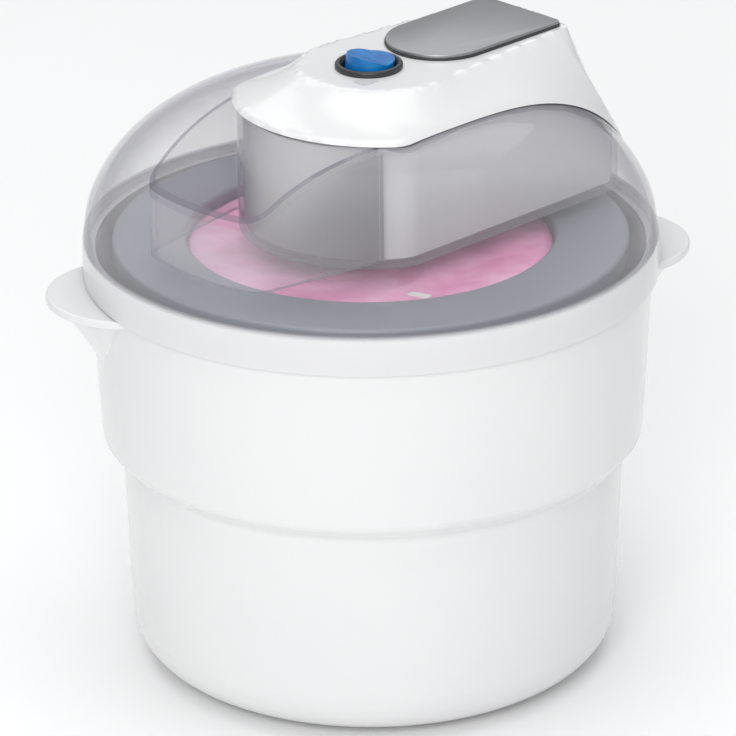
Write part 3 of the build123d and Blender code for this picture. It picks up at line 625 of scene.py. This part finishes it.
def makeLid():
    well, chute = lid["well"], lid["chute"]
    wellIn, wellOut = wellLoop(0), wellLoop(well["wall"])
    chuteIn, chuteOut = chuteLoop(0), chuteLoop(well["wall"])
    bore = rings([lid["bush"]], lid["segments"]["bore"])
    inner, count = lid["radius"] - lid["wall"], lid["segments"]["skirt"]
    outerRing, innerRing = rings([lid["radius"]], count), rings([inner], count)

    def span(points, wanted=None):
        radius = np.linalg.norm(points, axis=1)
        roof, under = roofHeight(radius), roofHeight(np.minimum(radius, inner), lid["wall"])
        if wanted is None:
            region = np.zeros(len(points), int)
            region[radius > inner - 0.05] = 1
            region[inside(points, chuteOut)] = 2
            region[inside(points, chuteIn)] = -1
            region[inside(points, wellOut)] = 3
            region[inside(points, wellIn)] = 4
            region[radius < lid["bush"]] = -1
            return None, None, region
        flat = np.ones(len(points))
        low = {0: under, 1: flat * lid["skirtLow"], 2: flat * chute["low"],
               3: flat * (well["floor"] - lid["wall"]), 4: flat * (well["floor"] - lid["wall"])}[wanted]
        return low, (flat * well["floor"] if wanted == 4 else roof), None

    # the roof's rings of corners lie closer together where it turns down
    middle = lid["radius"] - lid["reach"]
    reaches = [middle + lid["reach"] * math.cos(a) for a in np.radians(np.linspace(3, 90, 34))]
    radii = [r for r in reaches if r < inner - 0.4] + list(np.linspace(middle - 3, 3, 9))
    outlines = [outerRing, innerRing, wellIn, wellOut, chuteIn, chuteOut, bore]
    bm = columns(outlines, rings(radii, count), span)
    # a ledge inside the skirt, where the lid rests on the container's rim
    ledge = lid["ledge"]
    ledgeOut = inner - ledge["clear"]
    turnedRing(bm, [(ledge["inner"], ledge["low"]), (ledgeOut, ledge["low"]), (ledgeOut, ledge["high"]),
                    (ledge["inner"], ledge["high"])], lid["segments"]["ledge"])
    paintEdgeShade(bm, (chuteIn, chuteOut), (wellIn, wellOut))
    return meshFrom(bm, lidTurn, lid["crisp"])


# painted shade: sets the edge attribute that darkens the lid's cut edges fully and its upright walls partly
def paintEdgeShade(bm, *pairs):  # where the clear plastic is seen edge on it is darker
    strength = {"cut": 1.0, "wall": 0.22}
    bm.normal_update()
    shadeMarks = bm.faces.layers.float.new("edge")
    middles = np.array([tuple(f.calc_center_median())[:2] for f in bm.faces])
    between = np.zeros(len(middles), bool)
    for inner, outer in pairs:
        between |= inside(middles, outer) & ~inside(middles, inner)
    for face, middle, cut in zip(bm.faces, middles, between):
        upright = abs(face.normal.z) < 0.3
        if upright and np.linalg.norm(middle) < lid["radius"] - 2 * lid["wall"]:
            face[shadeMarks] = strength["wall"]
        elif cut and not upright:
            face[shadeMarks] = strength["cut"]


def turnedRing(bm, section, count):  # a closed section swept round the upright axis
    rows = []
    for a in np.arange(count) * 2 * math.pi / count:
        rows.append([bm.verts.new((r * math.cos(a), r * math.sin(a), z)) for r, z in section])
    for k, row in enumerate(rows):
        following = rows[(k + 1) % count]
        for i in range(len(section)):
            j = (i + 1) % len(section)
            bm.faces.new((row[i], following[i], following[j], row[j]))


addPiece("clear_lid", "lid", makeLid(), finishes["clear_plastic"],
         ("lid_dome", "motor_well", "chute_wall"))
print("clear lid: done")

cover = {
    "top": 213.0, "half": 41.0, "nose": 50.1, "centre": 5.0, "back": 92.0, "hole": 9.95,
    "wall": 2.2, "wallRun": 3.0, "gap": 0.45, "lip": 1.1, "lipRun": 0.8, "curve": 1.55,
    "edgeDrop": 0.35, "edgeRun": 2.5, "first": -46, "last": 93, "step": 1.7,
    "plateau": {"front": 27.5, "frontHalf": 27.5, "backHalf": 20.0, "back": 79.0},
}


def coverLoop():
    c = cover
    turn = math.asin(c["half"] / c["nose"])
    backTurn = math.asin(c["half"] / c["back"])
    loop = arc((c["centre"], 0), c["nose"], math.pi - turn, math.pi + turn)
    corner = (c["back"] * math.cos(backTurn), -c["half"])
    loop += edge(loop[-1], corner)
    loop += arc((0, 0), c["back"], -backTurn, backTurn)
    loop += edge((corner[0], c["half"]), loop[0])
    return rounded(tidyLoop(loop), 5)


def plateauLoop():
    p = cover["plateau"]
    turn = math.asin(p["backHalf"] / p["back"])
    loop = arc((cover["centre"], 0), p["front"], math.pi / 2, 1.5 * math.pi)
    corner = (p["back"] * math.cos(turn), -p["backHalf"])
    loop += edge((cover["centre"], -p["frontHalf"]), corner)
    loop += arc((0, 0), p["back"], -turn, turn)
    loop += edge((corner[0], p["backHalf"]), (cover["centre"], p["frontHalf"]))
    return rounded(tidyLoop(loop), 4)


def rounded(loop, passes):  # corners eased by averaging along an evenly spaced loop
    points = np.array(loop + [loop[0]])
    length = np.concatenate([[0], np.cumsum(np.linalg.norm(np.diff(points, axis=0), axis=1))])
    count = int(length[-1] / 1.2)
    places = np.arange(count) * length[-1] / count
    even = np.stack([np.interp(places, length, points[:, k]) for k in (0, 1)], axis=1)
    for _ in range(passes):
        even = (np.roll(even, 1, axis=0) + 2 * even + np.roll(even, -1, axis=0)) / 4
    return [tuple(p) for p in even]


def makeCover():
    c = cover
    outer, plateau = coverLoop(), plateauLoop()
    hole = rings([c["hole"]], 64)

    def span(points, wanted=None):
        radius = np.linalg.norm(points, axis=1)
        if wanted is None:
            region = np.where(inside(points, outer), 0, -1)
            region[radius < c["hole"]] = -1
            return None, None, region
        roof = roofHeight(np.minimum(radius, lid["radius"]))
        away, near = distanceTo(points, outer), distanceTo(points, plateau)
        near[inside(points, plateau)] = 0
        share = away / (away + near + 1e-9)
        base = roof + c["gap"] + c["lip"] * np.clip(away / c["lipRun"], 0, 1) ** 0.5
        high = base + (c["top"] - base) * share ** c["curve"]
        ease = np.clip(near / c["edgeRun"], 0, 1)  # the plateau's edge is rounded over
        high = high - c["edgeDrop"] * (1 - ease) ** 2 * (near > 0)
        high = np.minimum(high, c["top"])
        inner = high - c["wall"] * np.clip(away / c["wallRun"], 0.0, 1) ** 0.5
        return np.maximum(np.minimum(inner, high - 0.05), roof + c["gap"]), high, None

    across = np.arange(-c["half"], c["half"] + 0.5, c["step"])
    grid = np.array([(x, y) for x in np.arange(c["first"], c["last"], c["step"]) for y in across])
    bm = columns([outer, plateau, hole], grid[inside(grid, outer)], span, 0.6)
    return meshFrom(bm, lidTurn, 40)


addPiece("motor_cover", "motor_unit", makeCover(), finishes["white_gloss"], ("top_cover",))
print("motor cover: done")


# ---- turned pieces, made by one geometry tree

def turningTree():
    tree = bpy.data.node_groups.new("turnedPiece", "GeometryNodeTree")
    ids = {}
    tree.interface.new_socket("Section", in_out="INPUT", socket_type="NodeSocketGeometry")
    inputs = (("Segments", "NodeSocketInt", 128), ("Corner steps", "NodeSocketInt", 4),
              ("Sweep radius", "NodeSocketFloat", 0.05), ("Finish", "NodeSocketMaterial", None))
    for name, kind, value in inputs:
        socket = tree.interface.new_socket(name, in_out="INPUT", socket_type=kind)
        if value is not None:
            socket.default_value = value
        ids[name] = socket.identifier
    tree.interface.new_socket("Piece", in_out="OUTPUT", socket_type="NodeSocketGeometry")
    kinds = {
        "given": "NodeGroupInput", "result": "NodeGroupOutput", "line": "GeometryNodeMeshToCurve",
        "fillet": "GeometryNodeFilletCurve", "corner": "GeometryNodeInputNamedAttribute",
        "circle": "GeometryNodeCurvePrimitiveCircle", "sweep": "GeometryNodeCurveToMesh",
        "merge": "GeometryNodeMergeByDistance", "realize": "GeometryNodeRealizeInstances",
        "finish": "GeometryNodeSetMaterial",
    }
    n = {key: tree.nodes.new(kind) for key, kind in kinds.items()}
    n["fillet"].mode = "POLY"
    n["corner"].data_type = "FLOAT"
    n["corner"].inputs["Name"].default_value = "corner"
    n["fillet"].inputs["Limit Radius"].default_value = True
    n["merge"].inputs["Distance"].default_value = 1e-6
    links = [
        ("given", "Section", "line", "Mesh"), ("line", "Curve", "fillet", "Curve"),
        ("given", "Corner steps", "fillet", "Count"), ("corner", "Attribute", "fillet", "Radius"),
        ("given", "Segments", "circle", "Resolution"), ("given", "Sweep radius", "circle", "Radius"),
        ("circle", "Curve", "sweep", "Curve"), ("fillet", "Curve", "sweep", "Profile Curve"),
        ("sweep", "Mesh", "merge", "Geometry"), ("merge", "Geometry", "realize", "Geometry"),
        ("realize", "Geometry", "finish", "Geometry"), ("given", "Finish", "finish", "Material"),
        ("finish", "Geometry", "result", "Piece"),
    ]
    for source, out, target, into in links:
        tree.links.new(n[source].outputs[out], n[target].inputs[into])
    return tree, ids


turning = turningTree()


def turned(section, corners, finish, segments=128, steps=4, sweep=50.0, centre=(0, 0), angle=35):
    # section is a line of (radius, height), closed unless it starts on the axis, and corners the
    # rounding at each point, in millimetres
    tree, ids = turning
    mesh = bpy.data.meshes.new("section")
    count = len(section)
    points = [((r - sweep) * mm, -z * mm, 0) for r, z in section]
    links = count - 1 if section[0][0] == 0 else count
    mesh.from_pydata(points, [(k, (k + 1) % count) for k in range(links)], [])
    attribute = mesh.attributes.new("corner", "FLOAT", "POINT")
    attribute.data.foreach_set("value", [c * mm for c in corners])
    piece = bpy.data.objects.new("section", mesh)
    bpy.context.scene.collection.objects.link(piece)
    modifier = piece.modifiers.new("turned", "NODES")
    modifier.node_group = tree
    modifier[ids["Segments"]] = segments
    modifier[ids["Corner steps"]] = steps
    modifier[ids["Sweep radius"]] = sweep * mm
    modifier[ids["Finish"]] = finish
    result = evaluated(piece)
    bm = bmesh.new()
    bm.from_mesh(result)
    bmesh.ops.translate(bm, vec=(centre[0] * mm, centre[1] * mm, 0), verts=bm.verts)
    bmesh.ops.recalc_face_normals(bm, faces=bm.faces)
    bm.to_mesh(result)
    bm.free()
    return smoothed(result, angle)


ring = {"inner": 62.5, "outer": 88.0, "lip": 1.6, "low": 149.7, "top": 154.0, "lipLow": 147.5, "round": 1.3}


def makeRing():
    r = ring
    lipIn = r["outer"] - r["lip"]
    section = [(r["inner"], r["low"]), (lipIn, r["low"]), (lipIn, r["lipLow"]),
               (r["outer"], r["lipLow"]), (r["outer"], r["top"]), (r["inner"], r["top"])]
    return turned(section, [0, 0, 0.4, 0.4, r["round"], 1.8], finishes["ring_grey"], 160, 5)


addPiece("bowl_ring", "bowl", makeRing(), finishes["ring_grey"], ("bowl_top_ring",))

switch = {"barrel": 9.9, "low": 190.0, "seat": 213.0, "bezel": 11.5, "top": 215.0, "mouth": 9.6,
          "bore": 9.2, "floor": 198.0}


def makeSwitch():
    w = switch
    section = [(0, w["low"]), (w["barrel"], w["low"]), (w["barrel"], w["seat"]), (w["bezel"], w["seat"]),
               (w["bezel"], w["top"]), (w["mouth"] + 0.5, w["top"]), (w["mouth"], w["top"] - 0.7),
               (w["bore"], w["top"] - 1.4), (w["bore"], w["floor"]), (0, w["floor"])]
    corners = [0, 0.8, 0, 0.1, 0.9, 0.25, 0.1, 0.1, 0, 0]
    return turned(section, corners, finishes["black_plastic"], 96, 4, 10.0)


addPiece("round_switch", "motor_unit", makeSwitch(), finishes["black_plastic"],
         ("switch_body",))
print("turned pieces: done")


# ---- ice cream in the bowl

ice = {
    "outer": 62.1, "inner": 8.5, "low": 120.0, "level": 150.9, "rings": 46, "segments": 200,
    "swirl": 0.9, "folds": 5, "twist": 0.19, "wander": 2.2, "crumbs": 0.12,
    "rimStart": 0.93, "rimWidth": 0.07, "rimDrop": 1.3, "middleRise": 0.5,
}


def makeIceCream():
    bm = bmesh.new()
    rows = []
    for k in range(ice["rings"] + 1):
        share = k / ice["rings"]
        radius = ice["inner"] + (ice["outer"] - ice["inner"]) * share
        row = []
        for s in range(ice["segments"]):
            a = s * 2 * math.pi / ice["segments"]
            x, y = radius * math.cos(a), radius * math.sin(a)
            drift = ice["wander"] * noise.noise(Vector((x * 0.03, y * 0.03, 3)))
            fold = math.sin(ice["folds"] * a + radius * ice["twist"] + drift)
            lumps = noise.fractal(Vector((x * 0.06, y * 0.06, 7)), 0.8, 2.1, 4)
            crumbs = noise.fractal(Vector((x * 0.35, y * 0.35, 1)), 0.7, 2.0, 3)
            rim = max(0.0, share - ice["rimStart"]) / ice["rimWidth"]
            z = ice["level"] + ice["swirl"] * (0.45 * fold * abs(fold) + 0.55 * lumps) + ice["crumbs"] * crumbs
            z += ice["middleRise"] * (1 - share) - ice["rimDrop"] * rim ** 2
            row.append(bm.verts.new((x, y, z)))
        rows.append(row)
    foot = [[bm.verts.new((v.co.x, v.co.y, ice["low"])) for v in rows[end]] for end in (0, -1)]
    rows = [foot[0]] + rows + [foot[1]]
    rows.append(rows[0])
    for inner, outer in zip(rows, rows[1:]):
        for s in range(ice["segments"]):
            t = (s + 1) % ice["segments"]
            bm.faces.new((inner[s], outer[s], outer[t], inner[t]))
    return meshFrom(bm, 0, 60)


addPiece("ice_cream", "bowl", makeIceCream(), iceCream())
print("ice cream: done")


# ---- trim plate, its underlay and a light-grey triangle on the cover under the switch

plate = {"start": 15.3, "end": 74.4, "half": 18.4, "low": 214.0, "top": 215.0, "margin": 0.4, "round": 2.2}


def plateLoop(margin):
    half, start, end = plate["half"] + margin, plate["start"] - margin, plate["end"] + margin
    bend = plate["round"] + margin
    loop = arc((start + half, 0), half, math.pi / 2, 1.5 * math.pi, 1.0)
    loop += edge((start + half, -half), (end - bend, -half))
    loop += arc((end - bend, -half + bend), bend, -math.pi / 2, 0, 0.5)
    loop += edge((end, -half + bend), (end, half - bend))
    loop += arc((end - bend, half - bend), bend, 0, math.pi / 2, 0.5)
    loop += edge((end - bend, half), (start + half, half))
    return tidyLoop(loop, 0.1)


def slab(loopAt, rows, turn, angle=35):  # stacked outlines: rows of (outline margin, height)
    bm = bmesh.new()
    layers = [[bm.verts.new((x, y, z)) for x, y in loopAt(margin)] for margin, z in rows]
    for lower, upper in zip(layers, layers[1:]):
        for k in range(len(lower)):
            j = (k + 1) % len(lower)
            bm.faces.new((lower[k], lower[j], upper[j], upper[k]))
    bm.faces.new(layers[0])
    bm.faces.new(layers[-1])
    return meshFrom(bm, turn, angle)


def offsetLoop(base, margin):  # a closed outline moved out by margin along its normals
    a = np.array(base)
    along = np.roll(a, -1, axis=0) - np.roll(a, 1, axis=0)
    out = np.stack([along[:, 1], -along[:, 0]], axis=1) / np.linalg.norm(along, axis=1)[:, None]
    area = np.sum(a[:, 0] * np.roll(a[:, 1], -1) - np.roll(a[:, 0], -1) * a[:, 1])
    return [tuple(p) for p in a + out * margin * (1 if area > 0 else -1)]


plateBase, underBase = plateLoop(0), plateLoop(plate["margin"])
addPiece("trim_plate", "motor_unit", slab(lambda m: offsetLoop(plateBase, m), [
    (0, plate["low"]), (0, plate["top"] - 0.3), (-0.1, plate["top"] - 0.09), (-0.32, plate["top"])],
    lidTurn, 25),
    finishes["brushed_plate"], ("decor_plate",))
addPiece("plate_foot", "motor_unit", slab(lambda m: offsetLoop(underBase, m), [
    (-0.2, 213.0), (0, 213.2), (0, 213.85), (-0.15, 214.0)], lidTurn, 25),
    finishes["black_plastic"], ("plate_underlay",))

pointer = {"corners": [(-8.8, -11.3), (0.5, -14.0), (-6.8, -18.3)], "low": 212.9, "top": 213.25}
pointerLoop = rounded(pointer["corners"], 2)
pointerGrey = mouldedPlastic("pointerGrey", (0.50, 0.50, 0.51), (0.58, 0.58, 0.59), 0.4)
addPiece("cover_pointer", "motor_unit", slab(lambda m: offsetLoop(pointerLoop, m), [
    (0, pointer["low"]), (0, pointer["top"] - 0.1), (-0.12, pointer["top"])], 0), pointerGrey)
print("trim plate and pointer: done")


# ---- rocker with three facets

rocker = {"radius": 8.5, "inset": 0.25, "low": 209.5, "high": 217.6, "dish": 1.9, "edgeDrop": 0.5,
          "pivot": 211.5, "tilt": 9.0, "straight": 0.5, "diagonal": 0.42}


def makeRocker():
    r = rocker
    rim = rings([r["radius"] - r["inset"]], 72)

    def height(points):
        lift = np.maximum(np.abs(points[:, 0]), np.minimum(points[:, 1], 8)) / r["radius"]
        outmost = np.clip(np.linalg.norm(points, axis=1) - (r["radius"] - 1.0), 0, 1)
        return r["high"] - r["dish"] * (1 - lift) - r["edgeDrop"] * outmost ** 2

    def span(points, wanted=None):
        if wanted is None:
            return None, None, np.where(inside(points, rim), 0, -1)
        return np.full(len(points), r["low"]), height(points), None

    # corners along the creases between the three facets, and rings of them in between
    spread = [(0, k * r["straight"] - 8.0) for k in range(17)]
    spread += [(s * k * r["diagonal"], k * r["diagonal"]) for k in range(1, 14) for s in (1, -1)]
    spread += [p for p in rings(np.linspace(1, 8.0, 12), 48)
               if abs(p[0]) > 0.3 and abs(abs(p[0]) - p[1]) > 0.35]
    bm = columns([rim], spread, span, 0.1)
    pivot = Matrix.Translation((0, 0, r["pivot"]))
    tip = pivot @ Matrix.Rotation(math.radians(r["tilt"]), 4, "Y") @ pivot.inverted()
    bmesh.ops.transform(bm, matrix=tip, verts=bm.verts)
    return meshFrom(bm, lidTurn, 14)


addPiece("blue_rocker", "rocker", makeRocker(), finishes["blue_rocker"], ("switch_rocker",))
print("rocker: done")


# ---- screws, one pattern set on points, each turned its own way

def solidsOf(node):  # the corners of each separate solid in a node, in millimetres
    place = nodes[node].matrix_world
    bm = copied(node)
    seen, solids = set(), []
    for start in bm.verts:
        if start in seen:
            continue
        seen.add(start)
        waiting, found = [start], []
        while waiting:
            corner = waiting.pop()
            found.append(tuple(place @ corner.co / mm))
            for link in corner.link_edges:
                other = link.other_vert(corner)
                if other not in seen:
                    seen.add(other)
                    waiting.append(other)
        solids.append(np.array(found))
    bm.free()
    return solids


def grown(name, base, inputs, kinds, links, settings, values):  # a geometry tree run once on a base mesh
    tree = bpy.data.node_groups.new(name, "GeometryNodeTree")
    tree.interface.new_socket("Base", in_out="INPUT", socket_type="NodeSocketGeometry")
    ids = {}
    for label, kind, value in inputs:
        ids[label] = tree.interface.new_socket(label, in_out="INPUT", socket_type=kind).identifier
    tree.interface.new_socket("Piece", in_out="OUTPUT", socket_type="NodeSocketGeometry")
    n = {key: tree.nodes.new(kind) for key, kind in kinds.items()}
    for key, setting, value in settings:
        setattr(n[key], setting, value)
    for key, socket, value in values:
        n[key].inputs[socket].default_value = value
    for source, out, target, into in links:
        tree.links.new(n[source].outputs[out], n[target].inputs[into])
    piece = bpy.data.objects.new(name, base)
    bpy.context.scene.collection.objects.link(piece)
    modifier = piece.modifiers.new(name, "NODES")
    modifier.node_group = tree
    for label, kind, value in inputs:
        modifier[ids[label]] = value
    return evaluated(piece)


def screwPattern(head, thickness, shank, length, way):
    # the head's top is at the origin, and faces down if way is 1
    thread = {"pitch": 0.8, "depth": 0.28, "start": 0.5, "point": 0.8}
    section = [(0, 0), (head * 0.8, 0), (head, -thickness * 0.4), (head, -thickness), (shank, -thickness)]
    z = -thickness - thread["start"]
    while z - thread["pitch"] > -length + thread["point"]:
        section += [(shank, z), (shank - thread["depth"], z - thread["pitch"] / 2)]
        z -= thread["pitch"]
    section += [(shank, z), (shank * 0.5, -length), (0, -length)]
    return turned([(r, -way * z) for r, z in section], [0] * len(section), finishes["steel"], 28, 1, 5.0)


def makeScrews(node):
    solids = solidsOf(node)
    first = solids[0]
    middle = (first.min(axis=0) + first.max(axis=0)) / 2
    far = np.linalg.norm(first[:, :2] - middle[:2], axis=1)
    low, high = first[:, 2].min(), first[:, 2].max()
    head = far.max()
    headAt = first[far > head - 0.05][:, 2]
    way = 1 if headAt.mean() < (low + high) / 2 else -1  # 1 if the head is below its shank
    thickness = headAt.max() - headAt.min()
    shank = far[(far < head - 0.3) & (far > 0.4)].max()
    pattern = bpy.data.objects.new("pattern", screwPattern(head, thickness, shank, high - low, way))
    bpy.context.scene.collection.objects.link(pattern)
    places = []
    for solid in solids:
        centre = (solid.min(axis=0) + solid.max(axis=0)) / 2
        headTop = solid[:, 2].min() if way == 1 else solid[:, 2].max()
        places.append((centre[0] * mm, centre[1] * mm, headTop * mm))
    base = bpy.data.meshes.new("places")
    base.from_pydata(places, [], [])
    slot, width, depth = head * 1.15 * mm, head * 0.24 * mm, thickness * 0.9 * mm
    mesh = grown(
        "screwSet", base,
        [("Pattern", "NodeSocketObject", pattern), ("Seed", "NodeSocketInt", 7),
         ("Slot", "NodeSocketVector", (slot, width, depth)),
         ("Cross slot", "NodeSocketVector", (width, slot, depth)),
         ("Finish", "NodeSocketMaterial", finishes["steel"])],
        {"given": "NodeGroupInput", "result": "NodeGroupOutput", "pattern": "GeometryNodeObjectInfo",
         "bar": "GeometryNodeMeshCube", "cross": "GeometryNodeMeshCube",
         "cut": "GeometryNodeMeshBoolean", "recut": "GeometryNodeMeshBoolean",
         "set": "GeometryNodeInstanceOnPoints", "turn": "FunctionNodeRandomValue",
         "realize": "GeometryNodeRealizeInstances", "finish": "GeometryNodeSetMaterial"},
        [("given", "Pattern", "pattern", "Object"), ("given", "Slot", "bar", "Size"),
         ("given", "Cross slot", "cross", "Size"), ("pattern", "Geometry", "cut", 0),
         ("bar", "Mesh", "cut", 1), ("cut", "Mesh", "recut", 0), ("cross", "Mesh", "recut", 1),
         ("given", "Base", "set", "Points"), ("recut", "Mesh", "set", "Instance"),
         ("given", "Seed", "turn", "Seed"), ("turn", 0, "set", "Rotation"),
         ("set", "Instances", "realize", "Geometry"), ("realize", "Geometry", "finish", "Geometry"),
         ("given", "Finish", "finish", "Material"), ("finish", "Geometry", "result", "Piece")],
        [("cut", "operation", "DIFFERENCE"), ("recut", "operation", "DIFFERENCE"),
         ("turn", "data_type", "FLOAT_VECTOR")],
        [("turn", 0, (0, 0, 0)), ("turn", 1, (0, 0, 2 * math.pi))])
    bpy.data.objects.remove(pattern)
    return smoothed(mesh, 30)


screwSets = {"cross_screws_housing": "housing_screws", "cross_screws_gearbox": "gearbox_screws",
             "cross_screws_motor": "motor_screws"}
for name, node in screwSets.items():
    addPiece(name, "motor_unit", makeScrews(node), finishes["steel"], (node,))


# ---- the coil's winding, a wire laid round its core

def makeWinding():
    coil = solidsOf("motor_coil")[0]
    middle = (coil.min(axis=0) + coil.max(axis=0)) / 2
    far = np.linalg.norm(coil[:, :2] - middle[:2], axis=1)
    low, high = coil[:, 2].min(), coil[:, 2].max()
    wire, clear = 0.28, 0.02
    outer, inner = far.max() - clear / 2, far.min()
    core = outer - 2 * wire - clear
    base = turned([(inner, low), (core, low), (core, high), (inner, high)], [0.3] * 4,
                  finishes["copper"], 96, 3, 20.0, (middle[0], middle[1]))
    travel = high - low - 2 * wire
    turns = float(int(travel / (2.1 * wire)))
    return smoothed(grown(
        "winding", base,
        [("Turns", "NodeSocketFloat", turns), ("Radius", "NodeSocketFloat", (outer - wire) * mm),
         ("Height", "NodeSocketFloat", travel * mm), ("Wire", "NodeSocketFloat", wire * mm),
         ("Place", "NodeSocketVector", (middle[0] * mm, middle[1] * mm, (low + wire) * mm)),
         ("Finish", "NodeSocketMaterial", finishes["copper"])],
        {"given": "NodeGroupInput", "result": "NodeGroupOutput", "path": "GeometryNodeCurveSpiral",
         "round": "GeometryNodeCurvePrimitiveCircle", "sweep": "GeometryNodeCurveToMesh",
         "place": "GeometryNodeTransform", "join": "GeometryNodeJoinGeometry",
         "realize": "GeometryNodeRealizeInstances", "finish": "GeometryNodeSetMaterial"},
        [("given", "Turns", "path", "Rotations"), ("given", "Radius", "path", "Start Radius"),
         ("given", "Radius", "path", "End Radius"), ("given", "Height", "path", "Height"),
         ("given", "Wire", "round", "Radius"), ("path", "Curve", "sweep", "Curve"),
         ("round", "Curve", "sweep", "Profile Curve"), ("sweep", "Mesh", "place", "Geometry"),
         ("given", "Place", "place", "Translation"), ("place", "Geometry", "join", "Geometry"),
         ("given", "Base", "join", "Geometry"), ("join", "Geometry", "realize", "Geometry"),
         ("realize", "Geometry", "finish", "Geometry"), ("given", "Finish", "finish", "Material"),
         ("finish", "Geometry", "result", "Piece")],
        [],
        [("path", "Resolution", 64), ("round", "Resolution", 8), ("sweep", "Fill Caps", True)]))


addPiece("coil_winding", "motor_unit", makeWinding(), finishes["copper"], ("motor_coil",))
print("screws and winding: done")
